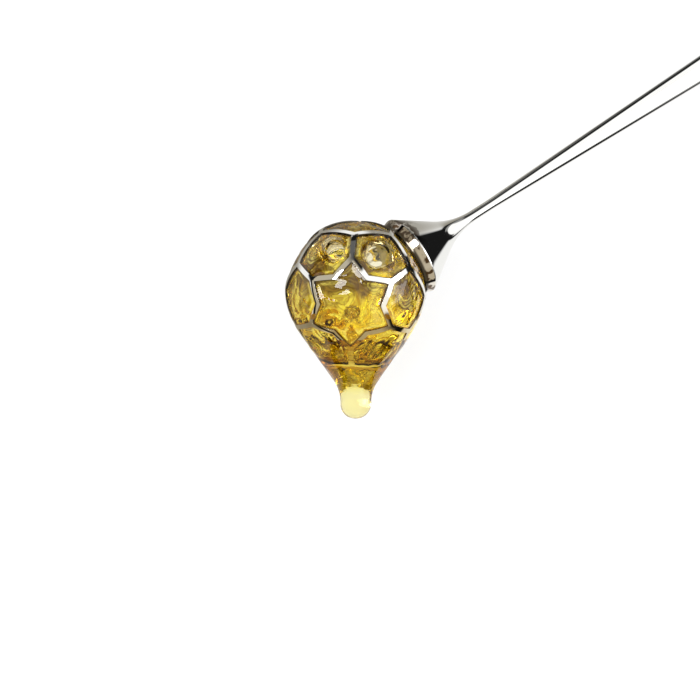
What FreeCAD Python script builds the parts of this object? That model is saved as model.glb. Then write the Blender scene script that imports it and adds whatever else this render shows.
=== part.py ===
"""Honey dipper: an openwork ball full of honey on a flared, polished stem, lying on its side.

The metal is one piece: a ball of thin bars (two six-pointed stars facing each other, a ring of six
windows round each star and six more round the belt), a trumpet that carries the ball, and a slender
stem that widens to a flat end.  The honey is the second piece: it fills the ball up to just under the
bars and hangs from it in a short drop.  Millimetres, +Z up, the shown star turned up.
"""
import FreeCAD
import Part
import os
import Sketcher
from math import asin, atan, cos, degrees, hypot, radians, sin, tan
from FreeCAD import Placement, Rotation, Vector

os.makedirs("parts", exist_ok=True)
doc = FreeCAD.newDocument("HoneyDipper")

# ---------------------------------------------------------------- driving sizes
SIZES = [
    ("ball_radius", 16.5, "outer radius of the openwork ball"),
    ("bar_width", 1.15, "width of every bar of the ball"),
    ("bar_depth", 1.4, "how far a bar reaches in towards the centre of the ball"),
    ("tip_angle", 40.0, "star axis to a point of the star"),
    ("notch_angle", 27.0, "star axis to an inner corner of the star"),
    ("spoke_angle", 65.0, "star axis to the far end of the spoke that leaves a point"),
    ("belt_angle", 81.0, "star axis to a corner of the belt"),
    ("handle_angle", 120.0, "star axis to the axis of the stem"),
    ("seat_angle", 33.0, "stem axis to the edge of the trumpet's seat on the ball"),
    ("lip_length", 2.16, "how far the trumpet's rim stands beyond the edge of its seat, along the stem"),
    ("lip_rise", 0.71, "how far the rim stands out from the edge of the seat"),
    ("rim_round", 0.5, "radius of the rim's rounded edge"),
    ("flare_angle", 32.5, "slope of the trumpet's cone to the stem axis"),
    ("flare_blend", 19.0, "radius of the hollow curve from the cone to the neck"),
    ("neck_radius", 1.32, "radius of the stem at its thinnest"),
    ("neck_run", 23.5, "outside of the ball to the end of the round neck"),
    ("waist_reach", 90.0, "centre of the ball to the stem's middle section"),
    ("waist_width", 5.3, "width of the stem's middle section"),
    ("stem_reach", 155.0, "centre of the ball to the end of the stem"),
    ("stem_width", 8.0, "width of the stem's flat end"),
    ("stem_thickness", 2.2, "thickness of the stem's flat end"),
    ("rest_trim", 0.6, "height of the small flat spots worn under the ball"),
    ("end_trim", 0.15, "height of the flat under the end of the stem"),
    ("honey_inset", 0.55, "honey surface below the outside of the bars"),
    ("honey_lift", 0.05, "underside of the honey above the table"),
    ("honey_sag", 0.8, "how far the honey bulges out on the side of the drop"),
    ("drop_angle", 35.0, "slope of the drop's cone to its own axis"),
    ("drop_blend", 8.5, "radius of the hollow curve from the cone to the drop's end"),
    ("drop_tip", 3.6, "radius of the drop's rounded end"),
    ("drop_neck", 0.25, "straight length between the hollow curve and the drop's end"),
    ("drop_turn", 238.8, "direction of the drop in plan, from the stem side"),
    ("drop_lift", 2.2, "rise of the drop above the level"),
]
sheet = doc.addObject("Spreadsheet::Sheet", "Sizes")
for row, (alias, value, meaning) in enumerate(SIZES, start=1):
    sheet.set(f"A{row}", alias)
    sheet.set(f"B{row}", str(value))
    sheet.set(f"C{row}", meaning)
    sheet.setAlias(f"B{row}", alias)
doc.recompute()


def size(alias):
    """The value of one driving size, read back from the sheet."""
    return float(sheet.get(alias))


# ---------------------------------------------------------------- pose of the ball and the stem
centre_height = size("ball_radius") - size("rest_trim")
end_height = size("stem_thickness") / 2 - size("end_trim")
flat_middle = size("stem_reach") - size("stem_width") / 2
stem_slope = degrees(asin((centre_height - end_height) / flat_middle))
star_tilt = size("handle_angle") - 90 - stem_slope
ball_turn = Rotation(Vector(0, 1, 0), -star_tilt)
stem_turn = Rotation(Vector(0, 1, 0), stem_slope)
drop_turn = Rotation(size("drop_turn"), -size("drop_lift"), 0)


# ---------------------------------------------------------------- the openwork ball
def ray(polar, turn):
    """Unit vector at a polar angle from the star axis and a turn about it, in degrees."""
    p, t = radians(polar), radians(turn)
    return Vector(sin(p) * cos(t), sin(p) * sin(t), cos(p))


def window_outlines():
    """The corners of every opening, as lists of unit vectors that run round the opening."""
    tip, notch = size("tip_angle"), size("notch_angle")
    spoke, belt = size("spoke_angle"), size("belt_angle")
    outlines = []
    for side in (1, -1):
        def corner(polar, turn):
            return ray(polar if side > 0 else 180 - polar, turn)
        star = []
        for k in range(6):
            star += [corner(tip, 60 * k), corner(notch, 60 * k + 30)]
            outlines.append([
                corner(tip, 60 * k), corner(notch, 60 * k + 30), corner(tip, 60 * k + 60),
                corner(spoke, 60 * k + 60), corner(belt, 60 * k + 30), corner(spoke, 60 * k)])
        outlines.append(star)
    for k in range(6):
        turn = 60 * k
        outlines.append([
            ray(spoke, turn), ray(belt, turn + 30), ray(180 - belt, turn + 30),
            ray(180 - spoke, turn), ray(180 - belt, turn - 30), ray(belt, turn - 30)])
    return outlines


def window_solid(corners):
    """A tapered plug through the shell: its sides lie half a bar inside the lines between corners."""
    axis = sum(corners, Vector())
    axis.normalize()
    if corners[0].cross(corners[1]).dot(axis) < 0:
        corners = corners[::-1]
    walls = []
    for here, there in zip(corners, corners[1:] + corners[:1]):
        normal = here.cross(there)
        normal.normalize()
        walls.append(normal)
    half_bar = size("bar_width") / 2
    widest = min(corner.dot(axis) for corner in corners)
    levels = (
        (size("ball_radius") - size("bar_depth")) * widest * 0.8,
        size("ball_radius") * 1.1)
    rings = []
    for level in levels:
        ring = []
        for wall, next_wall in zip(walls, walls[1:] + walls[:1]):
            # the point on both walls and on the level plane across the axis
            span = wall.cross(next_wall)
            scale = wall.dot(next_wall.cross(axis))
            point = (next_wall.cross(axis) * half_bar + axis.cross(wall) * half_bar + span * level)
            ring.append(point * (1 / scale))
        rings.append(ring)
    inner, outer = rings
    faces = [Part.Face(Part.makePolygon(ring + ring[:1])) for ring in rings]
    for k in range(len(inner)):
        nxt = (k + 1) % len(inner)
        loop = [inner[k], inner[nxt], outer[nxt], outer[k], inner[k]]
        faces.append(Part.Face(Part.makePolygon(loop)))
    solid = Part.makeSolid(Part.makeShell(faces))
    solid.fix(1e-6, 1e-6, 1e-6)
    if solid.Volume < 0:
        solid.reverse()
    return solid


def sphere(name, radius_formula):
    """A ball about the common centre whose radius is worked out from the sheet."""
    ball = doc.addObject("Part::Sphere", name)
    ball.setExpression("Radius", radius_formula)
    return ball


ball_outside = sphere("BallOutside", "Sizes.ball_radius")
ball_inside = sphere("BallInside", "Sizes.ball_radius - Sizes.bar_depth")
shell = doc.addObject("Part::Cut", "Shell")
shell.Base = ball_outside
shell.Tool = ball_inside
windows = doc.addObject("Part::Feature", "Windows")
windows.Shape = Part.makeCompound([window_solid(outline) for outline in window_outlines()])
cage = doc.addObject("Part::Cut", "Cage")
cage.Base = shell
cage.Tool = windows
doc.recompute()


# ---------------------------------------------------------------- sketches
def plane_of(body, role):
    return next(item for item in body.Origin.OriginFeatures if item.Role == role)


def new_sketch(body, name, role):
    sketch = body.newObject("Sketcher::SketchObject", name)
    sketch.AttachmentSupport = (plane_of(body, role), [""])
    sketch.MapMode = "FlatFace"
    return sketch


def bind(sketch, kind, formula, *where):
    """Add one constraint at the value the formula has now, and tie it to the sheet."""
    value = sketch.evalExpression(formula)
    value = float(getattr(value, "Value", value))
    if kind == "Angle":
        value = radians(value)
    index = sketch.addConstraint(Sketcher.Constraint(kind, *where, value))
    sketch.setExpression(f"Constraints[{index}]", formula)


def line(sketch, start, end):
    return sketch.addGeometry(Part.LineSegment(Vector(*start, 0), Vector(*end, 0)), False)


def arc(sketch, centre, radius, low, high):
    """An arc that runs anticlockwise from the low to the high angle, in degrees."""
    circle = Part.Circle(Vector(*centre, 0), Vector(0, 0, 1), radius)
    return sketch.addGeometry(Part.ArcOfCircle(circle, radians(low), radians(high)), False)


def join(sketch, first, first_end, second, second_end, kind="Coincident"):
    """Join two ends; kind Tangent also makes the pieces run on smoothly."""
    sketch.addConstraint(Sketcher.Constraint(kind, first, first_end, second, second_end))


START, END, MIDDLE = 1, 2, 3
ORIGIN, AXIS = (-1, 1), -1


def foot_of_cone(start, slope, blend, neck):
    """How far along the axis a cone that falls through a hollow curve reaches its neck."""
    meet = start[0] + (start[1] - neck) / tan(radians(slope))
    return meet + blend * tan(radians(slope / 2))


def cone_to_neck(sketch, start, slope, blend, neck, end_x, formulas):
    """A cone that falls to a neck through a hollow curve; returns its cone and its neck."""
    foot = foot_of_cone(start, slope, blend, neck)
    top = (foot - blend * sin(radians(slope)), neck + blend * (1 - cos(radians(slope))))
    cone = line(sketch, start, top)
    curve = arc(sketch, (foot, neck + blend), blend, 270 - slope, 270)
    tube = line(sketch, (foot, neck), (end_x, neck))
    join(sketch, cone, END, curve, START, "Tangent")
    join(sketch, curve, END, tube, START, "Tangent")
    sketch.addConstraint(Sketcher.Constraint("Horizontal", tube))
    bind(sketch, "Radius", formulas["blend"], curve)
    bind(sketch, "DistanceY", formulas["neck"], *ORIGIN, tube, END)
    return cone, tube


def revolved(body, name, sketch):
    solid = body.newObject("PartDesign::Revolution", name)
    solid.Profile = sketch
    solid.ReferenceAxis = (sketch, ["H_Axis"])
    solid.Angle = 360
    return solid


# ---------------------------------------------------------------- trumpet and stem
def build_stem():
    body = doc.addObject("PartDesign::Body", "StemBody")
    outline = new_sketch(body, "TrumpetOutline", "XZ_Plane")
    seat = radians(size("seat_angle"))
    edge = (size("ball_radius") * cos(seat), size("ball_radius") * sin(seat))
    rim = (edge[0] + size("lip_length"), edge[1] + size("lip_rise") - size("rim_round"))
    gap = hypot(rim[0] - edge[0], rim[1] - edge[1])
    lip_turn = degrees(atan((rim[1] - edge[1]) / (rim[0] - edge[0])) + asin(size("rim_round") / gap))
    lip_end = (
        rim[0] - size("rim_round") * sin(radians(lip_turn)),
        rim[1] + size("rim_round") * cos(radians(lip_turn)))
    slope = size("flare_angle")
    fall = (
        rim[0] + size("rim_round") * sin(radians(slope)),
        rim[1] + size("rim_round") * cos(radians(slope)))
    spoke = line(outline, (0, 0), edge)
    lip = line(outline, edge, lip_end)
    rounding = arc(outline, rim, size("rim_round"), 90 - slope, 90 + lip_turn)
    neck_end = size("ball_radius") + size("neck_run")
    cone, tube = cone_to_neck(
        outline, fall, slope, size("flare_blend"), size("neck_radius"), neck_end,
        {"blend": "Sizes.flare_blend", "neck": "Sizes.neck_radius"})
    wall = line(outline, (neck_end, size("neck_radius")), (neck_end, 0))
    core = line(outline, (neck_end, 0), (0, 0))
    join(outline, spoke, END, lip, START)
    join(outline, lip, END, rounding, END, "Tangent")
    join(outline, rounding, START, cone, START, "Tangent")
    join(outline, tube, END, wall, START)
    join(outline, wall, END, core, START)
    join(outline, core, END, *ORIGIN)
    join(outline, spoke, START, *ORIGIN)
    outline.addConstraint(Sketcher.Constraint("Vertical", wall))
    outline.addConstraint(Sketcher.Constraint("Horizontal", core))
    bind(outline, "Distance", "Sizes.ball_radius", spoke)
    bind(outline, "Angle", "Sizes.seat_angle * 1 deg", AXIS, spoke)
    bind(outline, "Radius", "Sizes.rim_round", rounding)
    bind(outline, "DistanceX", "Sizes.lip_length", lip, START, rounding, MIDDLE)
    bind(outline, "DistanceY", "Sizes.lip_rise - Sizes.rim_round", lip, START, rounding, MIDDLE)
    bind(outline, "DistanceX", "Sizes.ball_radius + Sizes.neck_run", *ORIGIN, tube, END)
    bind(outline, "Angle", "-Sizes.flare_angle * 1 deg", AXIS, cone)
    revolved(body, "Trumpet", outline)

    sections = []
    for name, reach, width, depth in (
            ("NeckSection", "Sizes.ball_radius + Sizes.neck_run", None, None),
            ("WaistSection", "Sizes.waist_reach", "Sizes.waist_width / 2",
             "(Sizes.neck_radius + Sizes.stem_thickness / 2) / 2"),
            ("EndSection", "Sizes.stem_reach", "Sizes.stem_width / 2", "Sizes.stem_thickness / 2")):
        section = new_sketch(body, name, "YZ_Plane")
        section.setExpression("AttachmentOffset.Base.z", reach)
        if width is None:
            ring = section.addGeometry(Part.Circle(Vector(), Vector(0, 0, 1), size("neck_radius")), False)
            join(section, ring, MIDDLE, *ORIGIN)
            bind(section, "Radius", "Sizes.neck_radius", ring)
        else:
            oval = Part.Ellipse(Vector(size("stem_width") / 2, 0, 0), Vector(0, 1, 0), Vector())
            ring = section.addGeometry(oval, False)
            section.exposeInternalGeometry(ring)
            long_axis, short_axis = ring + 1, ring + 2
            join(section, ring, MIDDLE, *ORIGIN)
            section.addConstraint(Sketcher.Constraint("Horizontal", long_axis))
            bind(section, "Distance", f"2 * ({width})", long_axis)
            bind(section, "Distance", f"2 * ({depth})", short_axis)
        sections.append(section)
    loft = body.newObject("PartDesign::AdditiveLoft", "Stem")
    loft.Profile = sections[0]
    loft.Sections = sections[1:]
    doc.recompute()

    # the plan of the stem's end is a half circle
    trim = new_sketch(body, "EndTrim", "XY_Plane")
    half, reach = size("stem_width") / 2, size("stem_reach")
    back, far, side = reach - half, reach + half, 2 * half
    curve = arc(trim, (back, 0), half, -90, 90)
    corners = [(back, half), (back, side), (far, side), (far, -side), (back, -side), (back, -half)]
    sides = [line(trim, here, there) for here, there in zip(corners, corners[1:])]
    join(trim, curve, END, sides[0], START)
    for here, there in zip(sides, sides[1:]):
        join(trim, here, END, there, START)
    join(trim, sides[-1], END, curve, START)
    for index in (0, 2, 4):
        trim.addConstraint(Sketcher.Constraint("Vertical", sides[index]))
    for index in (1, 3):
        trim.addConstraint(Sketcher.Constraint("Horizontal", sides[index]))
    bind(trim, "Radius", "Sizes.stem_width / 2", curve)
    bind(trim, "DistanceX", "Sizes.stem_reach - Sizes.stem_width / 2", *ORIGIN, curve, MIDDLE)
    trim.addConstraint(Sketcher.Constraint("PointOnObject", curve, MIDDLE, AXIS))
    bind(trim, "DistanceX", "Sizes.stem_reach + Sizes.stem_width / 2", *ORIGIN, sides[1], END)
    bind(trim, "DistanceY", "Sizes.stem_width", *ORIGIN, sides[1], END)
    bind(trim, "DistanceY", "Sizes.stem_width", sides[3], START, *ORIGIN)
    pocket = body.newObject("PartDesign::Pocket", "RoundEnd")
    pocket.Profile = trim
    pocket.Type = "ThroughAll"
    pocket.SideType = "Symmetric"
    doc.recompute()
    return body


stem = build_stem()


# ---------------------------------------------------------------- honey with its drop
def build_honey():
    body = doc.addObject("PartDesign::Body", "HoneyBody")
    outline = new_sketch(body, "HoneyOutline", "XZ_Plane")
    radius, sag, slope = size("ball_radius") - size("honey_inset"), size("honey_sag"), size("drop_angle")
    tip, blend = size("drop_tip"), size("drop_blend")
    back = arc(outline, (0, 0), radius, 90, 180)
    bulge = line(outline, (0, radius), (sag, radius))
    front = arc(outline, (sag, 0), radius, 90 - slope, 90)
    fall = (sag + radius * sin(radians(slope)), radius * cos(radians(slope)))
    neck_end = foot_of_cone(fall, slope, blend, tip) + size("drop_neck")
    cone, tube = cone_to_neck(
        outline, fall, slope, blend, tip, neck_end,
        {"blend": "Sizes.drop_blend", "neck": "Sizes.drop_tip"})
    drop_end = arc(outline, (neck_end, 0), tip, 0, 90)
    core = line(outline, (neck_end + tip, 0), (-radius, 0))
    join(outline, back, START, bulge, START, "Tangent")
    join(outline, bulge, END, front, END, "Tangent")
    join(outline, front, START, cone, START, "Tangent")
    join(outline, tube, END, drop_end, END, "Tangent")
    join(outline, drop_end, START, core, START)
    join(outline, core, END, back, END)
    join(outline, back, MIDDLE, *ORIGIN)
    for end, piece in ((START, core), (END, core), (MIDDLE, front)):
        outline.addConstraint(Sketcher.Constraint("PointOnObject", piece, end, AXIS))
    bind(outline, "Radius", "Sizes.ball_radius - Sizes.honey_inset", back)
    bind(outline, "DistanceX", "Sizes.honey_sag", *ORIGIN, front, MIDDLE)
    bind(outline, "Angle", "-Sizes.drop_angle * 1 deg", AXIS, cone)
    bind(outline, "Distance", "Sizes.drop_neck", tube)
    revolved(body, "HoneyBlob", outline)
    return body


honey_blob = build_honey()


# ---------------------------------------------------------------- the two finished pieces
def below(name, top_formula):
    """Everything under a level plane, to be cut away."""
    block = doc.addObject("Part::Box", name)
    block.setExpression("Length", "2 * Sizes.stem_reach + 4 * Sizes.ball_radius")
    block.setExpression("Width", "8 * Sizes.ball_radius")
    block.setExpression("Height", "2 * Sizes.ball_radius")
    block.setExpression("Placement.Base.x", "-Sizes.stem_reach - 2 * Sizes.ball_radius")
    block.setExpression("Placement.Base.y", "-4 * Sizes.ball_radius")
    block.setExpression("Placement.Base.z", f"{top_formula} - 2 * Sizes.ball_radius")
    return block


def boolean(kind, name, base, tool):
    result = doc.addObject(kind, name)
    result.Base = base
    result.Tool = tool
    return result


seated_stem = boolean("Part::Cut", "SeatedStem", stem, ball_inside)
metal = boolean("Part::Fuse", "Metal", cage, seated_stem)
dipper = boolean("Part::Cut", "Dipper", metal, below("Table", "0"))
free_honey = boolean("Part::Cut", "FreeHoney", honey_blob, below("HoneyTable", "Sizes.honey_lift"))
honey = boolean("Part::Cut", "Honey", free_honey, dipper)
dipper.Label = "dipper"
honey.Label = "honey"
nodes = [dipper, honey]


def put_together(centre):
    """Set every source piece about one centre, and rebuild what is cut and joined from them."""
    for piece in (ball_outside, ball_inside, windows):
        piece.Placement = Placement(centre, ball_turn)
    stem.Placement = Placement(centre, stem_turn)
    honey_blob.Placement = Placement(centre, drop_turn)
    doc.recompute()


# the origin is the middle of the underside of both pieces together
centre = Vector(0, 0, centre_height)
put_together(centre)
boxes = [node.Shape.optimalBoundingBox(False) for node in nodes]
centre.x = -(min(box.XMin for box in boxes) + max(box.XMax for box in boxes)) / 2
centre.y = -(min(box.YMin for box in boxes) + max(box.YMax for box in boxes)) / 2
put_together(centre)


# ---------------------------------------------------------------- checks and files
for item in doc.Objects:
    if "Invalid" in item.State or "Error" in item.State:
        raise RuntimeError(f"{item.Label} failed: {item.State}")
for node in nodes:
    if node.Shape.isNull() or not node.Shape.isValid():
        raise RuntimeError(f"{node.Label} has no valid shape")
    if len(node.Shape.Solids) != 1:
        raise RuntimeError(f"{node.Label} is {len(node.Shape.Solids)} solids")
for node in nodes:
    node.Shape.exportStep(f"parts/{node.Label}.step")
    box = node.Shape.optimalBoundingBox(False)
    print(node.Label, "volume", round(node.Shape.Volume, 1))
    print("  x", round(box.XMin, 3), round(box.XMax, 3), "y", round(box.YMin, 3), round(box.YMax, 3))
    print("  z", round(box.ZMin, 3), round(box.ZMax, 3))
print("ball centre", tuple(round(v, 3) for v in centre))
print("stem slope", round(stem_slope, 3), "star tilt", round(star_tilt, 3))
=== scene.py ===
"""Looks of a steel honey dipper: an openwork ball full of honey on a flared, slender stem."""

from math import asin, atan2, copysign, cos, hypot, pi, radians, sin, sqrt, tan
from random import Random

import bmesh
import bpy
from mathutils import Matrix, Vector, noise
from mathutils.kdtree import KDTree


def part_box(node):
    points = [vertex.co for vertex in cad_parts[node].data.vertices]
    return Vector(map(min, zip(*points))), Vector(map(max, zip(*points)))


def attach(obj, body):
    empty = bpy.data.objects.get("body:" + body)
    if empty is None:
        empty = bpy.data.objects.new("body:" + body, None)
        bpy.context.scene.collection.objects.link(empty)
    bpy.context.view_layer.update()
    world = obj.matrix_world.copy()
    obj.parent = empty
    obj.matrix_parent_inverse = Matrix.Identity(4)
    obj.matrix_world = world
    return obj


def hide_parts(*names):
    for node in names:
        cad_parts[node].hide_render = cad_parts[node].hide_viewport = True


bl_info = {
    "name": "Honey Dipper",
    "version": (1, 0, 0),
    "blender": (4, 5, 0),
    "location": "View3D > Sidebar > Honey Dipper",
    "description": "Builds a polished openwork honey dipper, its honey and a small studio",
    "category": "Object",
}

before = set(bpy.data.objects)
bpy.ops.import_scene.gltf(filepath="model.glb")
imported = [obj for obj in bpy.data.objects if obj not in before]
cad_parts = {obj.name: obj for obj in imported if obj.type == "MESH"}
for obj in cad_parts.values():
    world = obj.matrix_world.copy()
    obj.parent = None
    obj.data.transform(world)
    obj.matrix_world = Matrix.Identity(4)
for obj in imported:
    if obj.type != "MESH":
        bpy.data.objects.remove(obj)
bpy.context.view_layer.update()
METAL_LOW, METAL_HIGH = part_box("dipper")
MM = 0.001
TINY = 1e-6


# ------------------------------------------------------------------ sizes and colours
def length(name, description, millimetres):
    return bpy.props.FloatProperty(
        name=name, description=description, default=millimetres * MM, unit="LENGTH")


def angle(name, description, degrees):
    return bpy.props.FloatProperty(
        name=name, description=description, default=radians(degrees), subtype="ANGLE")


def tint(name, description, value):
    return bpy.props.FloatVectorProperty(
        name=name, description=description, default=value, subtype="COLOR", min=0, max=1)


class DipperSizes(bpy.types.PropertyGroup):
    """Sizes of the metal, which match the frame's own piece"""
    ball_radius: length("Ball radius", "Outer radius of the openwork ball", 16.5)
    bar_width: length("Bar width", "Width of every bar", 1.15)
    bar_depth: length("Bar depth", "How far a bar reaches in", 1.4)
    bar_edge: length("Bar edge", "Rounding of a bar's long edges", 0.16)
    tip_angle: angle("Tip angle", "Star axis to a point of the star", 40)
    notch_angle: angle("Notch angle", "Star axis to an inner corner", 27)
    spoke_angle: angle("Spoke angle", "Star axis to a spoke's far end", 65)
    belt_angle: angle("Belt angle", "Star axis to a corner of the belt", 81)
    handle_angle: angle("Handle angle", "Star axis to the stem's axis", 120)
    seat_angle: angle("Seat angle", "Stem axis to the edge of the seat", 33)
    lip_length: length("Lip length", "Rim beyond the edge of the seat", 2.16)
    lip_rise: length("Lip rise", "Rim out from the edge of the seat", 0.71)
    rim_round: length("Rim rounding", "Radius of the rim's edge", 0.5)
    flare_angle: angle("Flare angle", "Slope of the trumpet's cone", 32.5)
    flare_blend: length("Flare blend", "Radius of the hollow curve to the neck", 19)
    neck_radius: length("Neck radius", "Radius of the stem at its thinnest", 1.32)
    neck_run: length("Neck run", "Ball's outside to the end of the neck", 23.5)
    waist_reach: length("Waist reach", "Ball centre to the middle section", 90)
    waist_width: length("Waist width", "Width of the middle section", 5.3)
    stem_reach: length("Stem reach", "Ball centre to the stem's end", 155)
    stem_width: length("Stem width", "Width of the flat end", 8)
    stem_thickness: length("Stem thickness", "Thickness of the flat end", 2.2)
    rest_trim: length("Rest trim", "Height of the flat spots under the ball", 0.6)
    end_trim: length("End trim", "Height of the flat under the stem's end", 0.15)


class HoneySizes(bpy.types.PropertyGroup):
    """Sizes of the honey, which match the frame's own piece"""
    inset: length("Inset", "Honey surface below the bars' outside", 0.72)
    lift: length("Lift", "Underside of the honey above the table", 0.05)
    sag: length("Sag", "How far the honey bulges on the drop's side", 0.85)
    drop_angle: angle("Drop angle", "Slope of the drop's cone", 35)
    drop_blend: length("Drop blend", "Radius of the hollow curve to the end", 8.5)
    drop_tip: length("Drop tip", "Radius of the rounded end", 3.6)
    drop_neck: length("Drop neck", "Straight length before the round end", 0.25)
    drop_turn: angle("Drop turn", "Direction of the drop in plan", 238.8)
    drop_lift: angle("Drop lift", "Rise of the drop above the level", 2.2)
    meniscus: length("Meniscus", "How far the honey climbs beside a bar", 0.45)
    swell: length("Swell", "Unevenness of the honey in the windows", 0.34)


class FinishColours(bpy.types.PropertyGroup):
    """Main colours of the metal and the honey"""
    steel: tint("Steel", "Clean polished metal", (0.94, 0.935, 0.92))
    film: tint("Film", "Metal under a film of honey", (0.78, 0.65, 0.37))
    upper_honey: tint("Upper honey", "Clear honey away from the drop", (0.56, 0.47, 0.30))
    lower_honey: tint("Lower honey", "Bright honey on the drop's side", (1.0, 0.94, 0.30))
    amber: tint("Amber", "Deeper parts of the lower honey", (0.90, 0.58, 0.03))


class StudioSizes(bpy.types.PropertyGroup):
    """The camera and its aim"""
    distance: length("Distance", "Camera to the ball", 600)
    view_width: length("View width", "Width seen at the ball", 162.7)
    shift_right: length("Aim right", "Aim to the right of the ball", -1.4)
    shift_up: length("Aim up", "Aim above the ball", -13.8)


def metal():
    return bpy.context.scene.dipper_sizes


def syrup():
    return bpy.context.scene.honey_sizes


def tints():
    return bpy.context.scene.finish_colours


# ------------------------------------------------------------------ places
ALONG_X = Vector((1, 0, 0))
VIEW_LINE = Vector((-0.2185, 0.1754, 0.9599)).normalized()  # from the ball to the camera
VIEW_TOP = Vector((0.5166, 0.8554, -0.0387))  # the camera's own up


def ball_centre():
    """The middle of the ball, from the box of the frame's metal piece."""
    m = metal()
    return Vector(
        (METAL_LOW.x + m.ball_radius, METAL_HIGH.y - m.ball_radius, m.ball_radius - m.rest_trim))


def stem_slope():
    """How far the stem falls from the level, lying on the ball and on its own end."""
    m = metal()
    fall = (m.ball_radius - m.rest_trim) - (m.stem_thickness / 2 - m.end_trim)
    return asin(fall / (m.stem_reach - m.stem_width / 2))


def ball_matrix():
    """From the ball's own axes, Z along the star's axis, to the frame."""
    tilt = metal().handle_angle - pi / 2 - stem_slope()
    return Matrix.Translation(ball_centre()) @ Matrix.Rotation(-tilt, 4, "Y")


def stem_matrix():
    """From the stem's own axes, X along the stem, to the frame."""
    return Matrix.Translation(ball_centre()) @ Matrix.Rotation(stem_slope(), 4, "Y")


def drop_matrix():
    """From the drop's own axes, X along the drop, to the frame."""
    h = syrup()
    turn = Matrix.Rotation(h.drop_turn, 4, "Z") @ Matrix.Rotation(-h.drop_lift, 4, "Y")
    return Matrix.Translation(ball_centre()) @ turn


def stem_way():
    return stem_matrix().to_3x3() @ ALONG_X


def drop_way():
    return drop_matrix().to_3x3() @ ALONG_X


def tilted_axes():
    """Right, up and towards the viewer, for the camera and the air that runs along its line."""
    upward = (VIEW_TOP - VIEW_LINE * VIEW_TOP.dot(VIEW_LINE)).normalized()
    return upward.cross(VIEW_LINE), upward, VIEW_LINE


def ray(polar, turn):
    return Vector((sin(polar) * cos(turn), sin(polar) * sin(turn), cos(polar)))


def smooth_step(low, high, value):
    t = min(1, max(0, (value - low) / (high - low)))
    return t * t * (3 - 2 * t)


# ------------------------------------------------------------------ mesh helpers
def everything(bm):
    return bm.verts[:] + bm.edges[:] + bm.faces[:]


def finish_piece(name, bm, material, replaced):
    """Turn a bmesh into a smooth piece that rides on the one body."""
    mesh = bpy.data.meshes.new(name)
    for face in bm.faces:
        face.smooth = True
    bm.to_mesh(mesh)
    bm.free()
    mesh.materials.append(material)
    piece = bpy.data.objects.new(name, mesh)
    bpy.context.scene.collection.objects.link(piece)
    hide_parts(replaced)
    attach(piece, "root")
    return piece


def lathe(bm, outline, sides):
    """Turn an outline round the X axis into a shell."""
    bmesh.ops.spin(
        bm, geom=outline, cent=(0, 0, 0), axis=ALONG_X, angle=2 * pi, steps=sides, use_merge=True)


def weld(bm, distance=TINY):
    bmesh.ops.remove_doubles(bm, verts=bm.verts[:], dist=distance)


def cut_level(bm, height):
    """Cut away what lies under a level plane and close the cut."""
    cut = bmesh.ops.bisect_plane(
        bm, geom=everything(bm), dist=TINY / 10,
        plane_co=(0, 0, height), plane_no=(0, 0, 1), clear_inner=True)
    rim = [e for e in cut["geom_cut"] if isinstance(e, bmesh.types.BMEdge) and e.is_boundary]
    bmesh.ops.holes_fill(bm, edges=rim, sides=0)


def arc_points(centre, radius, start, end, steps):
    """Points along an arc in the XZ plane, both ends included."""
    turns = (start + (end - start) * k / steps for k in range(steps + 1))
    return [
        Vector((centre[0] + radius * cos(turn), 0, centre[1] + radius * sin(turn)))
        for turn in turns]


# ------------------------------------------------------------------ the openwork
WELD_UNIT = 1e-4  # merging distance on a ball of radius 1


def openings_mesh():
    """A closed ball whose faces are the openings: stars, ring windows and belt windows."""
    m = metal()
    bm = bmesh.new()
    corners = [
        (m.tip_angle, 0), (m.notch_angle, pi / 6), (m.tip_angle, pi / 3),
        (m.spoke_angle, pi / 3), (m.belt_angle, pi / 6), (m.spoke_angle, 0)]
    bm.faces.new([bm.verts.new(ray(*corner)) for corner in corners])
    bmesh.ops.spin(
        bm, geom=everything(bm), cent=(0, 0, 0), axis=(0, 0, 1),
        angle=5 * pi / 3, steps=5, use_duplicate=True)
    weld(bm, WELD_UNIT)
    twin = bmesh.ops.duplicate(bm, geom=everything(bm))
    lower = [item for item in twin["geom"] if isinstance(item, bmesh.types.BMVert)]
    bmesh.ops.scale(bm, verts=lower, vec=(1, 1, -1))
    above_ring = cos((m.tip_angle + m.spoke_angle) / 2)
    star_rims = [
        e for e in bm.edges if e.is_boundary and min(abs(v.co.z) for v in e.verts) > above_ring]
    bmesh.ops.holes_fill(bm, edges=star_rims, sides=12)
    bmesh.ops.bridge_loops(bm, edges=[e for e in bm.edges if e.is_boundary])
    posts = [
        e for e in bm.edges if abs(e.verts[0].co.z + e.verts[1].co.z) < WELD_UNIT
        and abs(abs(e.verts[0].co.z) - cos(m.spoke_angle)) < WELD_UNIT]
    bmesh.ops.dissolve_edges(bm, edges=posts)
    bmesh.ops.recalc_face_normals(bm, faces=bm.faces[:])
    return bm


def inset_targets(face, half_bar):
    """For each corner of an opening, the point half a bar inside both sides, on a unit ball."""
    targets = []
    for loop in face.loops:
        here = loop.vert.co
        before = loop.link_loop_prev.vert.co.cross(here).normalized()
        after = here.cross(loop.link_loop_next.vert.co).normalized()
        step = (before + after) * half_bar / (1 + before.dot(after))
        targets.append((here + step).normalized())
    return targets


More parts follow.
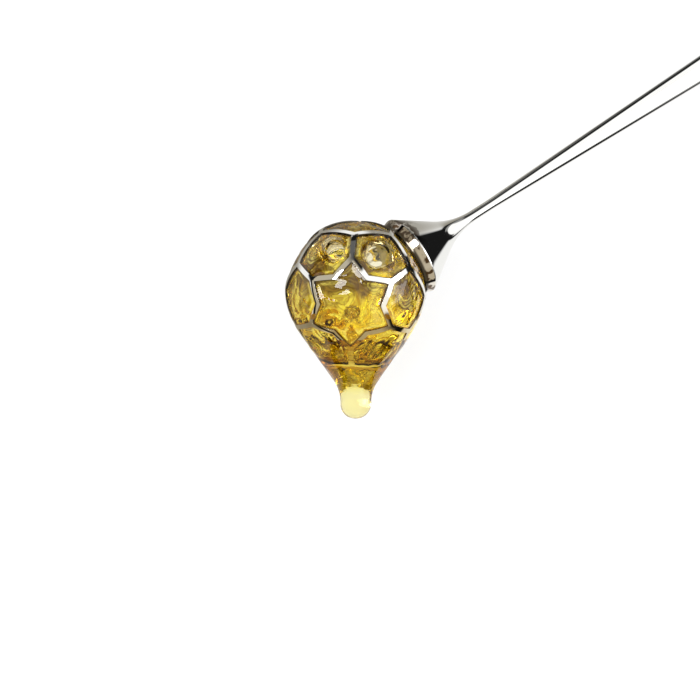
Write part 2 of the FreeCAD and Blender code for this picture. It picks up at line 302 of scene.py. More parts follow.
def build_cage(material):
    """Inset the openings, drop them, and give the net of bars that is left its depth and edges."""
    m = metal()
    bm = openings_mesh()
    bmesh.ops.subdivide_edges(bm, edges=bm.edges[:], cuts=7)
    for vert in bm.verts:
        vert.co.normalize()
    openings = bm.faces[:]
    targets = [inset_targets(face, m.bar_width / 2 / m.ball_radius) for face in openings]
    bmesh.ops.inset_individual(bm, faces=openings, thickness=0.01)
    for face, places in zip(openings, targets):
        for loop, place in zip(face.loops, places):
            loop.vert.co = place
    bmesh.ops.delete(bm, geom=openings, context="FACES_ONLY")
    bmesh.ops.recalc_face_normals(bm, faces=bm.faces[:])
    for vert in bm.verts:
        vert.co = vert.co.normalized() * m.ball_radius
    bmesh.ops.solidify(bm, geom=bm.faces[:], thickness=m.bar_depth)
    inside = m.ball_radius - m.bar_depth
    for vert in bm.verts:
        outer = vert.co.length > (m.ball_radius + inside) / 2
        vert.co = vert.co.normalized() * (m.ball_radius if outer else inside)
    sharp = [e for e in bm.edges if e.calc_face_angle(0) > radians(50)]
    bmesh.ops.bevel(
        bm, geom=sharp, affect="EDGES", offset=m.bar_edge, offset_type="OFFSET", segments=3,
        profile=0.5, material=-1, clamp_overlap=True)
    bmesh.ops.recalc_face_normals(bm, faces=bm.faces[:])
    bm.transform(ball_matrix())
    cut_level(bm, 0)
    cage = finish_piece("openwork_ball", bm, material, "dipper")
    even = cage.modifiers.new("Even shading", "WEIGHTED_NORMAL")
    even.weight = 80
    even.keep_sharp = True


# ------------------------------------------------------------------ trumpet and stem
STEM_RINGS, END_RINGS = 60, 16
WAIST_SQUARENESS = 0.15  # how much squarer than an ellipse the flat part's section is
END_SHARPNESS = 0.35  # power by which the thickness closes in on the end


def trumpet_outline():
    """Half of the trumpet's section, from the dish in the ball over its rim to the neck's end."""
    m = metal()
    inside = m.ball_radius - m.bar_depth
    edge = (m.ball_radius * cos(m.seat_angle), m.ball_radius * sin(m.seat_angle))
    rim = (edge[0] + m.lip_length, edge[1] + m.lip_rise - m.rim_round)
    gap = hypot(rim[0] - edge[0], rim[1] - edge[1])
    lip = atan2(rim[1] - edge[1], rim[0] - edge[0]) + asin(m.rim_round / gap)
    fall = (rim[0] + m.rim_round * sin(m.flare_angle), rim[1] + m.rim_round * cos(m.flare_angle))
    cone_length = (fall[1] - m.neck_radius) / tan(m.flare_angle)
    foot = (fall[0] + cone_length + m.flare_blend * tan(m.flare_angle / 2), m.neck_radius)
    return (
        arc_points((0, 0), inside, 0, m.seat_angle, steps=14)
        + [Vector((edge[0], 0, edge[1]))]
        + arc_points(rim, m.rim_round, pi / 2 + lip, pi / 2 - m.flare_angle, steps=10)
        + arc_points(
            (foot[0], foot[1] + m.flare_blend), m.flare_blend,
            1.5 * pi - m.flare_angle, 1.5 * pi, steps=28))


def swept(reach, at_neck, at_waist, at_end):
    """Smooth run of a size through its values at the neck, the waist and the end."""
    m = metal()
    a, b, c = m.ball_radius + m.neck_run, m.waist_reach, m.stem_reach
    if reach <= a:
        return at_neck
    return (
        at_neck * (reach - b) * (reach - c) / ((a - b) * (a - c))
        + at_waist * (reach - a) * (reach - c) / ((b - a) * (b - c))
        + at_end * (reach - a) * (reach - b) / ((c - a) * (c - b)))


def stem_section(reach):
    """Half width and half thickness of the stem, which close in over its rounded end."""
    m = metal()
    half_thick = m.stem_thickness / 2
    wide = swept(reach, m.neck_radius, m.waist_width / 2, m.stem_width / 2)
    deep = swept(reach, m.neck_radius, (m.neck_radius + half_thick) / 2, half_thick)
    past = max(0, reach - (m.stem_reach - m.stem_width / 2)) / (m.stem_width / 2)
    left = max(0, 1 - past ** 2)
    return wide * sqrt(left), deep * left ** END_SHARPNESS


def oval_point(reach, turn, wide, deep, power):
    """A point of the stem's section; a power of 2 makes an ellipse, and more makes it squarer."""
    c, s = cos(turn), sin(turn)
    across, up = abs(c) ** (2 / power), abs(s) ** (2 / power)
    return reach, wide * copysign(across, c), deep * copysign(up, s)


def draw_stem(bm, ring, start):
    """Draw a ring of edges out along the stem, station by station, and close it at the end."""
    m = metal()
    round_end = m.stem_reach - m.stem_width / 2
    stations = [start + (round_end - start) * k / STEM_RINGS for k in range(1, STEM_RINGS + 1)]
    stations += [
        m.stem_reach - m.stem_width / 2 * (1 - sin(pi / 2 * k / END_RINGS))
        for k in range(1, END_RINGS)]
    turns = {}
    for station in stations:
        grown = bmesh.ops.extrude_edge_only(bm, edges=ring)["geom"]
        ring = [item for item in grown if isinstance(item, bmesh.types.BMEdge)]
        wide, deep = stem_section(station)
        power = 2 + WAIST_SQUARENESS * smooth_step(start, m.waist_reach, station)
        # each new corner keeps the turn of the corner that it was drawn out from
        before, turns = turns, {}
        for vert in {v for e in ring for v in e.verts}:
            neighbours = (e.other_vert(vert) for e in vert.link_edges)
            source = next((other for other in neighbours if other in before), None)
            turns[vert] = before[source] if source else atan2(vert.co.z, vert.co.y)
            vert.co = oval_point(station, turns[vert], wide, deep, power)
    bmesh.ops.pointmerge(bm, verts=list(turns), merge_co=(m.stem_reach, 0, 0))


def build_stem(material):
    bm = bmesh.new()
    verts = [bm.verts.new(point) for point in trumpet_outline()]
    edges = [bm.edges.new(pair) for pair in zip(verts, verts[1:])]
    long_edges = [e for e in edges if e.calc_length() > 1.5 * MM]
    bmesh.ops.subdivide_edges(bm, edges=long_edges, cuts=8)
    lathe(bm, bm.verts[:] + bm.edges[:], sides=96)
    weld(bm)
    start = max(v.co.x for v in bm.verts)
    ring = [
        e for e in bm.edges if e.is_boundary and min(v.co.x for v in e.verts) > start - TINY]
    draw_stem(bm, ring, start)
    bmesh.ops.recalc_face_normals(bm, faces=bm.faces[:])
    bm.transform(stem_matrix())
    cut_level(bm, 0)
    finish_piece("flared_stem", bm, material, "dipper")


# ------------------------------------------------------------------ honey
FOLD_SCALE, FOLD_PLACE = 170, Vector((3.1, 0.7, 5.2))
CREASE_SCALE, CREASE_PLACE = 260, Vector((1.3, 4.1, 2.2))
CREASE_BEND = Vector((1.1, 0.6, 0.9))  # how the folds bend the creases
COVER_FROM, COVER_TO = 0.35, 0.62  # cosine to the drop, over which the honey covers the bars
CLIMB_FROM, CLIMB_TO = 0.35, 1.6  # distance from a bar in bar widths, over which the honey climbs
FAR_FROM_BARS = 9.0  # distance in mm noted where there are no bars

# shafts of air in mm: right and up from the ball's middle, half width and half height
SHAFTS = [(4.8, 7.5, 4.7, 4.9), (-4.7, 8.8, 3.6, 4.0)]
SHAFT_END = 14.0 * MM  # ball's middle to a shaft's ends
SHAFT_TAPER = 0.45  # share of a shaft's half length that its walls take up

FROTH_SEED = 7
CLUSTER_BUBBLES, ALL_BUBBLES = 30, 80
CLUSTER_PLACE = (radians(10), radians(249))  # star axis to the cluster, and turn round that axis
LARGE_BUBBLE, LARGE_BUBBLE_DEPTH = 1.7 * MM, 4.6 * MM


def honey_outline():
    """Half of the honey's section along the drop's axis, from the ball's far side to the end."""
    m, h = metal(), syrup()
    radius = m.ball_radius - h.inset
    slope = h.drop_angle
    points = arc_points((0, 0), radius, pi, pi / 2, steps=60)
    points += arc_points((h.sag, 0), radius, pi / 2, pi / 2 - slope, steps=30)
    fall = (h.sag + radius * sin(slope), radius * cos(slope))
    foot = fall[0] + (fall[1] - h.drop_tip) / tan(slope) + h.drop_blend * tan(slope / 2)
    curve = arc_points(
        (foot, h.drop_tip + h.drop_blend), h.drop_blend, 1.5 * pi - slope, 1.5 * pi, steps=16)
    cone_steps = 24
    points += [points[-1].lerp(curve[0], k / cone_steps) for k in range(1, cone_steps)]
    points += curve
    points += arc_points((foot + h.drop_neck, 0), h.drop_tip, pi / 2, 0, steps=14)
    return points


def bar_tree():
    """A search tree of points along the middle of every bar, in the frame."""
    bm = openings_mesh()
    bmesh.ops.subdivide_edges(bm, edges=bm.edges[:], cuts=15)
    place = ball_matrix()
    tree = KDTree(len(bm.verts))
    for index, vert in enumerate(bm.verts):
        tree.insert(place @ (vert.co.normalized() * metal().ball_radius), index)
    tree.balance()
    bm.free()
    return tree


def shape_skin(bm, beside):
    """Fold the honey's surface, raise it beside the bars, and note how far away the bars are."""
    m, h = metal(), syrup()
    tree, centre, down = bar_tree(), ball_centre(), drop_way()
    for vert in bm.verts:
        out = vert.co - centre
        height = out.length
        out.normalize()
        near = tree.find(centre + out * m.ball_radius)[2]
        covered = smooth_step(COVER_FROM, COVER_TO, out.dot(down))
        climb = 1 - smooth_step(m.bar_width * CLIMB_FROM, m.bar_width * CLIMB_TO, near)
        fold = noise.noise(vert.co * FOLD_SCALE + FOLD_PLACE)
        crease_place = vert.co * CREASE_SCALE + fold * CREASE_BEND + CREASE_PLACE
        crease = 0.5 - abs(noise.noise(crease_place))
        free = (1 - climb) * (1 - 0.35 * smooth_step(1.0, 1.3, height / m.ball_radius))
        meniscus = (1 - covered) * climb * h.meniscus
        vert.co = centre + out * (height + meniscus + (fold + 0.8 * crease) * h.swell * free)
        vert[beside] = near / MM if height < m.ball_radius * 1.05 else FAR_FROM_BARS


def line_air(bm, made, air):
    """Mark the faces of an air pocket and turn them to look away from the honey."""
    for vert in made:
        vert[air] = 1
    faces = {face for vert in made for face in vert.link_faces}
    bmesh.ops.reverse_faces(bm, faces=list(faces))


def add_shaft(bm, air, right, up, wide, high):
    """A shaft whose ends lie a thin, even layer of honey under the ball's skin."""
    made = bmesh.ops.create_icosphere(bm, subdivisions=5, radius=1)["verts"]
    across, upward, towards = tilted_axes()
    for vert in made:
        x, y, z = vert.co
        wall = min(1, abs(z) / SHAFT_TAPER) ** 0.8
        uneven = 1 + 0.10 * noise.noise(Vector((2.3 * x + right, 2.3 * y, z)))
        spread = (1 - abs(z) ** 3) * (1 - 0.25 * wall ** 6) * uneven / max(TINY, hypot(x, y))
        side = (right + wide * x * spread) * MM
        rise = (up + high * y * spread) * MM
        depth = sqrt(max(MM ** 2, SHAFT_END ** 2 - side ** 2 - rise ** 2)) * wall
        vert.co = ball_centre() + across * side + upward * rise + towards * copysign(depth, z)
    line_air(bm, made, air)


def add_bubble(bm, air, centre, radius, seed):
    made = bmesh.ops.create_icosphere(
        bm, subdivisions=4 if radius > MM else 2, radius=radius,
        matrix=Matrix.Translation(centre))["verts"]
    for vert in made:
        uneven = noise.noise(vert.co * CREASE_SCALE + Vector((seed, 2.7 * seed, 0.4)))
        vert.co += (vert.co - centre) * uneven * 0.05
    line_air(bm, made, air)


def froth():
    """One large bubble, a round cluster under the star, and loose ones through the lower half."""
    outside = metal().ball_radius
    chance = Random(FROTH_SEED)
    middle = ray(*CLUSTER_PLACE)
    spots = [(middle * (outside - LARGE_BUBBLE_DEPTH), LARGE_BUBBLE)]
    while len(spots) < CLUSTER_BUBBLES:
        sideways = Vector([chance.gauss(0, 0.062) for _ in range(3)])
        depth = chance.uniform(1.2, 2.2) * MM
        radius = chance.uniform(0.2, 0.42) * MM
        spots.append(((middle + sideways).normalized() * (outside - depth), radius))
    while len(spots) < ALL_BUBBLES:
        way = ray(radians(chance.uniform(8, 80)), radians(chance.uniform(175, 350)))
        depth = chance.uniform(1.4, 9) * MM
        radius = chance.uniform(0.1, 0.28) * MM
        spots.append((way * (outside - depth), radius))
    return spots


def build_honey(material):
    bm = bmesh.new()
    verts = [bm.verts.new(point) for point in honey_outline()]
    for pair in zip(verts, verts[1:]):
        bm.edges.new(pair)
    lathe(bm, bm.verts[:] + bm.edges[:], sides=288)
    weld(bm, 10 * TINY)
    bmesh.ops.recalc_face_normals(bm, faces=bm.faces[:])
    bm.transform(drop_matrix())
    beside = bm.verts.layers.float.new("bar_distance")
    air = bm.verts.layers.float.new("air")
    shape_skin(bm, beside)
    cut_level(bm, syrup().lift)
    for shaft in SHAFTS:
        add_shaft(bm, air, *shaft)
    for seed, (spot, radius) in enumerate(froth()):
        add_bubble(bm, air, ball_matrix() @ spot, radius, seed)
    finish_piece("honey_body", bm, material, "honey")


# ------------------------------------------------------------------ shader maths
class Value:
    """A number that a shader works out, from a socket; arithmetic on it adds Math nodes."""

    def __init__(self, graph, socket):
        self.graph, self.socket = graph, socket

    def maths(self, operation, *inputs):
        return self.graph.node("ShaderNodeMath", {"operation": operation}, dict(enumerate(inputs)))

    def __add__(self, other):
        return self.maths("ADD", self, other)

    def __sub__(self, other):
        return self.maths("SUBTRACT", self, other)

    def __rsub__(self, other):
        return self.maths("SUBTRACT", other, self)

    def __mul__(self, other):
        return self.maths("MULTIPLY", self, other)

    def __abs__(self):
        return self.maths("ABSOLUTE", self)

    __radd__ = __add__
    __rmul__ = __mul__


class Graph:
    """The node tree of one material or of the world."""

    def __init__(self, owner):
        self.owner = owner
        owner.use_nodes = True
        self.tree = owner.node_tree
        self.tree.nodes.clear()

    def feed(self, socket, value):
        if isinstance(value, Value):
            self.tree.links.new(value.socket, socket)
        else:
            socket.default_value = value

    def node(self, kind, settings=None, sockets=None, output=0):
        """Add a node: first its settings, then its sockets, each by name or number."""
        node = self.tree.nodes.new(kind)
        for key, value in (settings or {}).items():
            setattr(node, key, value)
        for key, value in (sockets or {}).items():
            self.feed(node.inputs[key], value)
        return Value(self, node.outputs[output]) if node.outputs else None

    def mix(self, share, first, second):
        """Mix two colours by a share that may vary."""
        first, second = (
            colour if isinstance(colour, Value) else (*colour, 1) for colour in (first, second))
        return self.node(
            "ShaderNodeMix", {"data_type": "RGBA"}, {0: share, 6: first, 7: second}, output=2)

    def rise(self, value, low, high):
        """Run from 0 at low to 1 at high, smoothly."""
        return self.node(
            "ShaderNodeMapRange", {"interpolation_type": "SMOOTHSTEP"},
            {"Value": value, "From Min": low, "From Max": high})

    def fall(self, value, low, high):
        """Run from 1 at low to 0 at high, smoothly."""
        return 1 - self.rise(value, low, high)

    def vector(self, operation, *inputs, output="Vector"):
        """Vector Math on vectors, each a link or three numbers."""
        return self.node(
            "ShaderNodeVectorMath", {"operation": operation},
            {slot: value if isinstance(value, Value) else tuple(value)
             for slot, value in enumerate(inputs)}, output)

    def scaled(self, vector, factor):
        return self.node(
            "ShaderNodeVectorMath", {"operation": "SCALE"}, {0: vector, "Scale": factor})

    def measure(self, operation, *inputs):
        """Vector Math that gives one number, such as a length or a dot product."""
        return self.vector(operation, *inputs, output="Value")

    def dot(self, first, second):
        return self.measure("DOT_PRODUCT", first, second)

    def noise(self, place, scale, detail, roughness=0.5, output=0):
        return self.node("ShaderNodeTexNoise", None, {
            "Vector": place, "Scale": scale, "Detail": detail, "Roughness": roughness}, output)

    def attribute(self, name):
        return self.node("ShaderNodeAttribute", {"attribute_name": name}, output="Fac")


def place_and_line(g):
    """The place on the piece, and the line to it from the ball's middle."""
    place = g.node("ShaderNodeTexCoord", output="Object")
    return place, g.vector("SUBTRACT", place, ball_centre())


# ------------------------------------------------------------------ metal's finish
DULL_STEEL, THICK_FILM = (0.88, 0.875, 0.865), (0.62, 0.46, 0.20)
# painted reflections: dark and pale streaks on the trumpet's rim, dark blotches near the ball
REFLECTED_DARK_STREAK, REFLECTED_PALE_STREAK, REFLECTED_DARK_BLOTCH = (0.12, 0.07, 0.035), (0.86, 0.80, 0.72), (0.13, 0.10, 0.08)
# the dark wall colour is painted shade between the bars; the golden wall is a honey film
WALL_SHADE, GOLDEN_WALL = (0.055, 0.04, 0.02), (0.84, 0.68, 0.24)
# the sunk steel colour is a painted golden reflection of the honey round the bars' inner faces
HONEY_REFLECTED_IN_SUNK_STEEL, MATT_DISH = (1.0, 0.92, 0.68), (0.98, 0.97, 0.94)


def steel_material():
    """Mirror-polished steel with a honey film near the drop; painted shade on the walls between
    the bars, and painted reflections on the trumpet's rim, near the ball and on the faces deep in
    the honey.
    """
    m = metal()
    outside, inside = m.ball_radius, m.ball_radius - m.bar_depth
    rim_reach = outside * cos(m.seat_angle) + m.lip_length
    dish_reach = inside * cos(m.seat_angle)
    g = Graph(bpy.data.materials.new("mirror_steel"))
    place, out = place_and_line(g)
    depth = g.dot(out, drop_way())
    reach = g.measure("LENGTH", out)
    normal = g.node("ShaderNodeNewGeometry", output="Normal")
    facing = g.dot(g.vector("NORMALIZE", out), normal)
    along = g.dot(out, stem_way())
    far_side = g.rise(g.dot(out, (0, 1, 0)), 1 * MM, 5 * MM)

    # where each finish lies, and where shade and reflections are painted
    on_ball = g.fall(reach, outside + 0.2 * MM, outside + 0.7 * MM)
    off_ball = g.rise(reach, outside + 0.1 * MM, outside + 0.4 * MM)
    deep = g.fall(reach, inside + 0.2 * MM, inside + 0.6 * MM)
    sideways = g.fall(facing, 0.45, 0.9)
    sunk = deep * sideways
    wall = sideways * on_ball * (1 - sunk)
    covered = g.fall(reach, outside - 0.6 * MM, outside - 0.4 * MM)
    low = g.rise(depth, -3 * MM, 13 * MM) * on_ball
    lip = off_ball * g.fall(along, rim_reach - 0.3 * MM, rim_reach + 0.1 * MM)
    reflection_near_ball = far_side * off_ball * g.fall(along, outside, outside + 4 * MM)
    dish = g.rise(along, dish_reach - 1.06 * MM, dish_reach - 0.46 * MM) * deep

    smudge = g.noise(place, scale=70.0, detail=3.0, roughness=0.55)
    blotch = g.noise(place, scale=240.0, detail=2.0)
    streak = g.noise(place, scale=420.0, detail=2.0, roughness=0.6)
    grain = g.noise(place, scale=2600.0, detail=2.0, roughness=0.6)

    bare = g.mix(g.rise(smudge, 0.3, 0.8), tints().steel, DULL_STEEL)
    filmed = g.mix(g.rise(blotch, 0.35, 0.65), tints().film, THICK_FILM)
    # painted reflection of the ball, as dark and pale streaks on the trumpet's rim
    painted_rim_reflection = g.mix(g.rise(streak, 0.38, 0.50), REFLECTED_DARK_STREAK, REFLECTED_PALE_STREAK)
    # painted shade on the bars' side walls, with a golden honey film instead where the honey
    # covers them low down
    wall_shade_or_film = g.mix(low * covered, WALL_SHADE, GOLDEN_WALL)
    colour = g.mix(low, bare, filmed)
    colour = g.mix(lip, colour, painted_rim_reflection)
    # painted reflection: dark blotches on the trumpet's far side, next to the ball
    colour = g.mix(reflection_near_ball * g.rise(streak, 0.44, 0.52), colour, REFLECTED_DARK_BLOTCH)
    colour = g.mix(wall * 0.93, colour, wall_shade_or_film)
    # painted reflection: faces deep inside the honey are tinted golden
    colour = g.mix(sunk, colour, HONEY_REFLECTED_IN_SUNK_STEEL)
    colour = g.mix(dish, colour, MATT_DISH)

    polish = g.rise(smudge, 0.35, 0.75) * 0.035 + grain * 0.02 + 0.015
    bump = g.node(
        "ShaderNodeBump", None, {"Strength": 0.04, "Distance": 0.02 * MM, "Height": grain})
    shader = g.node("ShaderNodeBsdfPrincipled", None, {
        "Base Color": colour, "Metallic": 1.0, "Roughness": polish + wall * 0.12 + dish * 0.5,
        "Normal": bump})
    g.node("ShaderNodeOutputMaterial", None, {"Surface": shader})
    return g.owner


# ------------------------------------------------------------------ honey's finish
# above is the side away from the drop, below is the drop's side
# the skin edge colour is a painted highlight beside the bars
UPPER_SHADOW, PALE_PATCH, SKIN_HIGHLIGHT = (0.13, 0.082, 0.032), (1.0, 0.97, 0.80), (1.0, 0.96, 0.80)
VEIN_ABOVE, VEIN_BELOW = (0.20, 0.10, 0.02), (0.62, 0.30, 0.02)
LINE_ABOVE, LINE_BELOW = (0.05, 0.024, 0.006), (0.34, 0.13, 0.008)
# the oval rim colour is a painted highlight round the pale ovals
OVAL_RIM_HIGHLIGHT, THIN_HONEY, AIR_WALL = (1.0, 0.97, 0.86), (0.97, 0.95, 0.88), (1.0, 0.98, 0.94)
SHADE_ABOVE, SHADE_BELOW = (0.03, 0.02, 0.01), (0.45, 0.22, 0.02)
# the bright core is painted light through the cone's middle, and the amber side is painted shade
# at its edges
PAINTED_LIGHT_CORE, AMBER_SIDE_SHADE, PALE_DROP = (1.0, 0.97, 0.45), (0.50, 0.17, 0.01), (1.0, 0.95, 0.66)
ABSORPTION, ABSORPTION_DENSITY = (0.99, 0.905, 0.03, 1), 58.0

# darker clouds in the honey in mm: right, up and out from the ball's middle, and radius
CLOUDS = [(12.0, -0.4, 10.2, 6.2), (-0.8, 3.0, 15.4, 6.0), (-9.5, 4.6, 11.6, 3.4)]
CLOUD_COLOUR = (0.050, 0.019, 0.003)


def streaked_honey(g, depth, low, cloud, flow, swirl):
    """Olive honey above and yellow below, with pale patches, amber veins and thin dark lines."""
    lowest = g.rise(depth, 7 * MM, 11 * MM)
    upper = g.mix(g.rise(cloud, 0.42, 0.60), UPPER_SHADOW, tints().upper_honey)
    lower = g.mix(g.rise(cloud, 0.40, 0.52), tints().amber, tints().lower_honey)
    colour = g.mix(low, upper, lower)
    colour = g.mix(g.rise(flow, 0.56, 0.66) * 0.85, colour, PALE_PATCH)
    vein = g.fall(abs(flow - 0.46), 0.003, 0.03) * (0.8 - lowest * 0.5)
    colour = g.mix(vein, colour, g.mix(low, VEIN_ABOVE, VEIN_BELOW))
    line = g.rise(swirl, 0.66, 0.92) * (0.62 - lowest * 0.45)
    return g.mix(line, colour, g.mix(low, LINE_ABOVE, LINE_BELOW)), lowest


def pale_ovals(g, colour, out, wobble, swirl):
    """Paler honey over the air shafts, each with a broken rim of painted highlight."""
    right, upward, towards = tilted_axes()
    ovals = []
    for aside, above, wide, _ in SHAFTS:
        spot = (right * aside + upward * above) * MM
        radius = wide * MM
        beyond = g.vector("CROSS_PRODUCT", g.vector("SUBTRACT", out, spot), towards)
        gap = g.measure("LENGTH", beyond)
        ovals.append(g.fall(gap + wobble * (2 * MM), 0.50 * radius, 0.72 * radius))
        # painted highlight in a broken ring round each oval
        rim = g.rise(gap, 0.84 * radius, 0.92 * radius) * g.fall(gap, 0.98 * radius, 1.1 * radius)
        colour = g.mix(rim * g.rise(swirl, 0.25, 0.55) * 0.85, colour, OVAL_RIM_HIGHLIGHT)
    thin = sum(ovals)
    return g.mix(thin, colour, THIN_HONEY), thin


def dark_clouds(g, colour, out, wobble, swirl):
    """Brown honey round the places in the list of clouds, streaked by the swirl."""
    right, upward, towards = tilted_axes()
    for aside, above, front, radius in CLOUDS:
        spot = (right * aside + upward * above + towards * front) * MM
        gap = g.measure("DISTANCE", out, spot) + wobble * (12 * MM)
        share = g.fall(gap, radius * 0.5 * MM, radius * MM) * (0.55 + 0.45 * swirl)
        colour = g.mix(share, colour, CLOUD_COLOUR)
    return colour


def drop_colours(g, colour, out, depth, wobble, flow):
    """A bright core of painted light and painted amber shade at the sides of the cone, and a pale
    round end.
    """
    across = drop_way().cross(VIEW_LINE).normalized()
    width = abs(g.dot(out, across) + wobble * (12 * MM))
    cone = g.rise(depth, 13 * MM, 17 * MM)
    # painted light down the cone's middle and painted shade at its sides, across the line of view
    core = g.fall(width, 1.6 * MM, 3.6 * MM) * cone * 0.8
    sides = g.rise(width, 4.2 * MM, 6 * MM) * cone * g.rise(flow, 0.4, 0.5) * 0.8
    colour = g.mix(core, colour, PAINTED_LIGHT_CORE)
    colour = g.mix(sides, colour, AMBER_SIDE_SHADE)
    return g.mix(g.rise(depth, 20 * MM, 25 * MM) * 0.8, colour, PALE_DROP)


def honey_material():
    """Clear honey: olive and see-through at the top, bright yellow below, veined with amber."""
    g = Graph(bpy.data.materials.new("clear_honey"))
    place, out = place_and_line(g)
    depth = g.dot(out, drop_way())
    warp = g.noise(place, scale=110.0, detail=1.0, output="Color")
    bent = g.vector("ADD", place, g.scaled(warp, 8 * MM))
    cloud = g.noise(bent, scale=120.0, detail=2.0)
    flow = g.noise(bent, scale=210.0, detail=0.5, roughness=0.4)
    ripple = g.noise(bent, scale=480.0, detail=1.0, roughness=0.4)
    swirl = g.node("ShaderNodeMath", {"operation": "SINE"}, {0: flow * 65}) * 0.5 + 0.5
    wobble = cloud - 0.5
    low = g.rise(depth + wobble * (14 * MM), -1.5 * MM, 4 * MM)
    beside = g.attribute("bar_distance")
    air = g.attribute("air")

    colour, lowest = streaked_honey(g, depth, low, cloud, flow, swirl)
    colour, thin = pale_ovals(g, colour, out, wobble, swirl)
    # painted highlight: a pale line in the honey's skin just beside the bars
    skin = g.rise(beside, 1.1, 1.35) * g.fall(beside, 1.5, 1.9) * g.rise(flow, 0.36, 0.5)
    colour = g.mix(skin * 0.75, colour, SKIN_HIGHLIGHT)
    colour = dark_clouds(g, colour, out, wobble, swirl)
    shade = g.fall(beside + wobble * 0.4, 0.78, 1.1)
    colour = g.mix(shade * 0.9, colour, g.mix(low, SHADE_ABOVE, SHADE_BELOW))
    colour = drop_colours(g, colour, out, depth, wobble, flow)
    colour = g.mix(air, colour, AIR_WALL)

    folds = flow + cloud * 0.6 + ripple * 0.22
    calm = (1 - air) * (1 - thin * 0.8) * (1 - lowest * 0.4)
    bump = g.node("ShaderNodeBump", None, {
        "Strength": 0.8, "Distance": 0.6 * MM, "Height": folds * calm})
    shader = g.node("ShaderNodeBsdfPrincipled", None, {
        "Base Color": colour, "Roughness": 0.02, "IOR": 1.49, "Transmission Weight": 1.0,
        "Normal": bump})
    absorb = g.node(
        "ShaderNodeVolumeAbsorption", None, {"Color": ABSORPTION, "Density": ABSORPTION_DENSITY})
    g.node("ShaderNodeOutputMaterial", None, {"Surface": shader, "Volume": absorb})
    return g.owner


# ------------------------------------------------------------------ studio
WHITE, WHITE_IN_METAL, BLACK_FLOOR = (1.0, 1.0, 1.0), (0.95, 0.95, 0.93), (0.01, 0.01, 0.01)
# the grey floor colour is painted shade, seen only in the metal beside and behind the stem
STEM_SHADE_ON_TABLE, FLOOR_BEHIND = (0.34, 0.32, 0.27), (0.72, 0.70, 0.64)
WINDOW, PLAIN_LIGHT, AROUND_HONEY = (1.12, 1.12, 1.10), (0.9, 0.9, 0.9), (0.72, 0.69, 0.60)
DARK_ROOM, LEFT_WALL = (0.015, 0.015, 0.015), (0.52, 0.47, 0.36)
GREY_CARD, BACK_WALL = (0.3, 0.3, 0.29), (0.12, 0.12, 0.115)
# lamps: place from the ball's middle in metres, size in metres, power in watts
LAMPS = {"key_light": ((-0.35, 0.45, 0.7), 0.5, 7.0), "fill_light": ((0.6, -0.2, 0.5), 0.6, 3.0)}
BOUNCES = 32  # light goes back and forth many times between the bars and the honey's skin
SENSOR = 36  # width in mm


def ray_kinds(g):
    """1 or 0 for the camera's own rays, rays through the honey, and rays off polished metal."""
    outputs = g.node("ShaderNodeLightPath").socket.node.outputs
    names = ("Is Camera Ray", "Is Transmission Ray", "Is Glossy Ray")
    return [Value(g, outputs[name]) for name in names]


def floor_material():
    """White table that keeps a faint shadow; polished metal sees painted shade on it, greyer
    behind the stem.
    """
    g = Graph(bpy.data.materials.new("white_table"))
    camera, through, glossy = ray_kinds(g)
    _, out = place_and_line(g)
    # painted shade on the table beside the stem, seen only by rays off the polished metal
    across = g.dot(out, (-0.35, 1.0, 0.0))
    stem_shade_band = g.rise(across, -16 * MM, 8 * MM) * g.fall(across, 26 * MM, 50 * MM)
    reach = g.measure("LENGTH", g.vector("MULTIPLY", out, (1, 1, 0)))
    mirrored = g.mix(stem_shade_band, WHITE_IN_METAL, STEM_SHADE_ON_TABLE)
    mirrored = g.mix(g.rise(reach, 95 * MM, 150 * MM), mirrored, BLACK_FLOOR)
    behind = g.mix(g.rise(reach, 30 * MM, 70 * MM), WHITE, FLOOR_BEHIND)
    glow = g.mix(through, g.mix(glossy, WHITE, mirrored), behind)
    plain = g.node("ShaderNodeBsdfDiffuse", None, {"Color": (*PLAIN_LIGHT, 1)})
    lit = g.node("ShaderNodeEmission", None, {"Color": glow, "Strength": 1.0})
    share = camera * 0.7 + through + glossy
    both = g.node("ShaderNodeMixShader", None, {0: share, 1: plain, 2: lit})
    g.node("ShaderNodeOutputMaterial", None, {"Surface": both})
    return g.owner


def build_world():
    """Even light, with a large soft window above for the metal and honey, in a dark room."""
    world = bpy.data.worlds.new("studio")
    bpy.context.scene.world = world
    g = Graph(world)
    camera, through, glossy = ray_kinds(g)
    # in a world this output is the direction that the ray goes
    way = g.node("ShaderNodeTexCoord")
    outputs = g.node("ShaderNodeSeparateXYZ", None, {"Vector": way}).socket.node.outputs
    x, y, z = (Value(g, part) for part in outputs)
    window = g.rise(z, 0.08, 0.13) * g.fall(y, 0.46, 0.56)
    window = window * g.rise(y, -0.78, -0.68) * g.rise(x, -0.2, 0.02)
    left = g.fall(x, 0.0, 0.3)
    card = g.rise(g.dot(way, (0.87, 0.50, 0.0)), 0.88, 0.95)
    sweep = g.fall(y, -0.52, -0.42) * g.rise(x, 0.45, 0.6)
    room = g.mix(left, DARK_ROOM, LEFT_WALL)
    room = g.mix(card, room, GREY_CARD)
    room = g.mix(g.rise(y, 0.74, 0.86) * (1 - left), room, BACK_WALL)
    room = g.mix(sweep, room, WHITE_IN_METAL)
    room = g.mix(through * 0.85, room, AROUND_HONEY)
    sky = g.mix(window, room, WINDOW)
    curved = g.node("ShaderNodeMath", {"operation": "MAXIMUM"}, {0: through, 1: glossy})
    colour = g.mix(camera, g.mix(curved, PLAIN_LIGHT, sky), WHITE)
    backdrop = g.node("ShaderNodeBackground", None, {"Color": colour, "Strength": 1.0})
    g.node("ShaderNodeOutputWorld", None, {"Surface": backdrop})


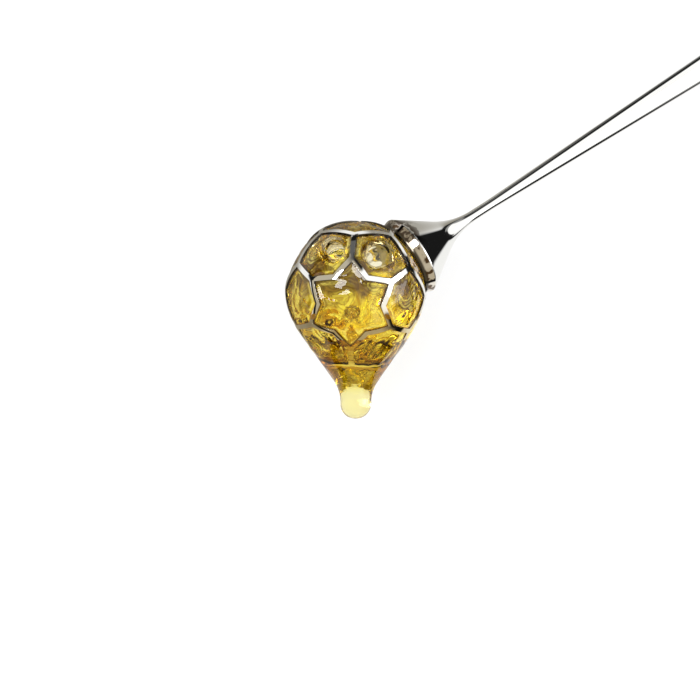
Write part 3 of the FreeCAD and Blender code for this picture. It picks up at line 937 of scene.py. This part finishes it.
def build_floor():
    bm = bmesh.new()
    bmesh.ops.create_grid(bm, x_segments=8, y_segments=8, size=3)
    mesh = bpy.data.meshes.new("floor")
    bm.to_mesh(mesh)
    bm.free()
    mesh.materials.append(floor_material())
    floor = bpy.data.objects.new("floor", mesh)
    bpy.context.scene.collection.objects.link(floor)


def build_lamps():
    for name, (offset, size, power) in LAMPS.items():
        lamp = bpy.data.lights.new(name, "AREA")
        lamp.shape, lamp.size, lamp.energy = "DISK", size, power
        holder = bpy.data.objects.new(name, lamp)
        holder.location = ball_centre() + Vector(offset)
        holder.rotation_euler = Vector(offset).to_track_quat("Z", "Y").to_euler()
        bpy.context.scene.collection.objects.link(holder)


def build_camera():
    scene = bpy.context.scene
    s = scene.studio_sizes
    right, upward, towards = tilted_axes()
    camera = bpy.data.cameras.new("camera")
    camera.sensor_width = SENSOR
    camera.lens = SENSOR * s.distance / s.view_width
    camera.clip_start, camera.clip_end = 0.01, 20
    holder = bpy.data.objects.new("camera", camera)
    turn = Matrix((right, upward, towards)).transposed().to_4x4()
    aim = ball_centre() + right * s.shift_right + upward * s.shift_up
    holder.matrix_world = Matrix.Translation(aim + towards * s.distance) @ turn
    scene.collection.objects.link(holder)
    scene.camera = holder


# ------------------------------------------------------------------ operators
class DIPPER_OT_metal(bpy.types.Operator):
    """Build the openwork ball, the trumpet and the stem"""
    bl_idname = "dipper.metal"
    bl_label = "Polished metal"

    def execute(self, context):
        material = steel_material()
        build_cage(material)
        build_stem(material)
        return {"FINISHED"}


class DIPPER_OT_honey(bpy.types.Operator):
    """Build the honey in the ball and its drop"""
    bl_idname = "dipper.honey"
    bl_label = "Honey"

    def execute(self, context):
        build_honey(honey_material())
        return {"FINISHED"}


class DIPPER_OT_studio(bpy.types.Operator):
    """Build the floor, the light and the camera"""
    bl_idname = "dipper.studio"
    bl_label = "Studio"

    def execute(self, context):
        build_floor()
        build_world()
        build_lamps()
        build_camera()
        scene = context.scene
        scene.view_settings.view_transform = "Standard"
        scene.cycles.max_bounces = BOUNCES
        scene.cycles.transmission_bounces = BOUNCES
        scene.cycles.glossy_bounces = BOUNCES
        return {"FINISHED"}


OPERATORS = (DIPPER_OT_metal, DIPPER_OT_honey, DIPPER_OT_studio)
GROUPS = {
    "dipper_sizes": DipperSizes, "honey_sizes": HoneySizes, "finish_colours": FinishColours,
    "studio_sizes": StudioSizes}


class DIPPER_PT_panel(bpy.types.Panel):
    """Lists the sizes, the colours and the steps"""
    bl_idname = "DIPPER_PT_panel"
    bl_label = "Honey Dipper"
    bl_space_type = "VIEW_3D"
    bl_region_type = "UI"
    bl_category = "Honey Dipper"

    def draw(self, context):
        for name in GROUPS:
            group = getattr(context.scene, name)
            box = self.layout.box()
            for value in group.__annotations__:
                box.prop(group, value)
        for operator in OPERATORS:
            self.layout.operator(operator.bl_idname)


CLASSES = (*GROUPS.values(), *OPERATORS, DIPPER_PT_panel)


def register():
    for item in CLASSES:
        bpy.utils.register_class(item)
    for name, group in GROUPS.items():
        setattr(bpy.types.Scene, name, bpy.props.PointerProperty(type=group))


def unregister():
    for name in GROUPS:
        delattr(bpy.types.Scene, name)
    for item in reversed(CLASSES):
        bpy.utils.unregister_class(item)


def main():
    register()
    bpy.ops.dipper.metal()
    bpy.ops.dipper.honey()
    bpy.ops.dipper.studio()


if __name__ == "__main__":
    main()
